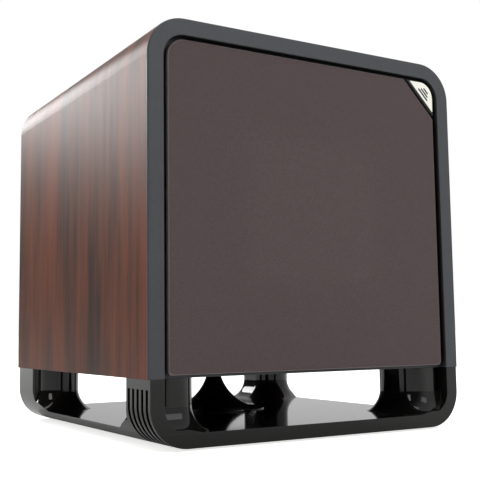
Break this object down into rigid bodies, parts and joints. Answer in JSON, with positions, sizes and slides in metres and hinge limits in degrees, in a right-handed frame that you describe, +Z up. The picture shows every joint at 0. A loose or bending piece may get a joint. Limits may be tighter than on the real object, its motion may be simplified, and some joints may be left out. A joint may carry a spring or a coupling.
{
  "type": "subwoofer",
  "caption": "Powered home subwoofer: wood-wrapped cabinet, front woofer behind a pull-off cloth grille, down-firing port over an open four-legged base, rear amplifier panel.",
  "frame": {"origin": "on the floor, under the middle of the overall box, heat sink included", "axes": "+Z up, +X to the right seen from the front, front faces -Y"},
  "size_m": [0.356, 0.386, 0.383],
  "materials": {
    "walnut_wrap": "walnut vinyl wrap, satin",
    "fibreboard": "painted fibreboard",
    "wadding": "polyester wadding",
    "bezel_grey": "satin graphite paint",
    "badge_metal": "satin champagne",
    "rubber_black": "moulded rubber",
    "gasket_foam": "closed-cell foam",
    "rim_silver": "satin silver",
    "chrome": "polished",
    "basket_steel": "black powder coat",
    "steel_black": "black oxide",
    "plated_steel": "zinc plated",
    "ferrite": "sintered ferrite",
    "cone_champagne": "metallic satin lacquer",
    "spider_cloth": "resin-dipped cotton",
    "former_kapton": "polyimide",
    "copper_coil": "enamelled copper wire",
    "grille_plastic": "moulded",
    "grille_fabric": "open acoustic weave",
    "base_gloss": "high gloss black",
    "port_plastic": "moulded",
    "amp_plate": "black textured paint",
    "heat_sink_black": "black anodised",
    "control_plastic": "fine spark texture",
    "nickel": "nickel plated",
    "insert_plastic": "white insulator",
    "led_lens": "tinted lens",
    "board_green": "solder mask",
    "transformer_tape": "wound tape",
    "capacitor_sleeve": "heat-shrink sleeve"
  },
  "bodies": {
    "cabinet": {"cabinet_wrap": "walnut_wrap", "bottom_panel": "fibreboard", "rear_panel": "fibreboard", "window_brace": "fibreboard", "baffle_board": "fibreboard", "damping_wadding": "wadding", "front_bezel": "bezel_grey", "corner_badge": "badge_metal", "peg_sockets": "rubber_black", "trim_ring": "rim_silver", "trim_cone": "chrome", "driver_basket": "basket_steel", "basket_gasket": "gasket_foam", "driver_screws": "steel_black", "terminal_strip": "control_plastic", "top_plate": "plated_steel", "magnet": "ferrite", "pole_yoke": "plated_steel", "magnet_boot": "rubber_black", "surround": "rubber_black", "spider": "spider_cloth", "base_plate": "base_gloss", "leg_front_right": "base_gloss", "leg_front_left": "base_gloss", "leg_rear_right": "base_gloss", "leg_rear_left": "base_gloss", "base_screws": "steel_black", "rubber_feet": "rubber_black", "foot_screws": "steel_black", "port_diffuser": "base_gloss", "port_tube": "port_plastic", "amp_panel": "amp_plate", "amp_gasket": "gasket_foam", "amp_screws": "steel_black", "heat_sink": "heat_sink_black", "potentiometers": "control_plastic", "switch_housings": "control_plastic", "rocker_housing": "control_plastic", "mains_inlet": "control_plastic", "inlet_pins": "nickel", "line_jacks": "nickel", "jack_inserts": "insert_plastic", "status_led": "led_lens", "amp_board": "board_green", "transformer": "transformer_tape", "capacitors": "capacitor_sleeve"},
    "driver_cone": {"woofer_cone": "cone_champagne", "dust_cap": "cone_champagne", "voice_coil_former": "former_kapton", "voice_coil": "copper_coil"},
    "grille": {"grille_frame": "grille_plastic", "grille_cloth": "grille_fabric", "grille_pegs": "grille_plastic"},
    "volume_dial": {"volume_knob": "control_plastic"},
    "crossover_dial": {"crossover_knob": "control_plastic"},
    "phase_slider": {"phase_lever": "control_plastic"},
    "mode_slider": {"mode_lever": "control_plastic"},
    "rocker": {"mains_rocker": "control_plastic"}
  },
  "joints": [
    {"name": "cone_excursion", "type": "slide", "parent": "cabinet", "child": "driver_cone", "axis": [0, -1, 0], "range_m": [-0.01, 0.01], "stiffness_N_per_m": 2000, "deforming": ["surround", "spider"]},
    {"name": "grille_pull", "type": "slide", "parent": "cabinet", "child": "grille", "axis": [0, -1, 0], "range_m": [0, 0.4]},
    {"name": "volume_turn", "type": "hinge", "parent": "cabinet", "child": "volume_dial", "pos_m": [0.062, 0.18, 0.214], "axis": [0, 1, 0], "range_deg": [-150, 150]},
    {"name": "crossover_turn", "type": "hinge", "parent": "cabinet", "child": "crossover_dial", "pos_m": [0.022, 0.18, 0.214], "axis": [0, 1, 0], "range_deg": [-150, 150]},
    {"name": "phase_switch", "type": "slide", "parent": "cabinet", "child": "phase_slider", "axis": [1, 0, 0], "range_m": [0, 0.004]},
    {"name": "mode_switch", "type": "slide", "parent": "cabinet", "child": "mode_slider", "axis": [1, 0, 0], "range_m": [0, 0.008]},
    {"name": "mains_rocker_tilt", "type": "hinge", "parent": "cabinet", "child": "rocker", "pos_m": [-0.014, 0.177, 0.158], "axis": [1, 0, 0], "range_deg": [-16, 0]}
  ]
}
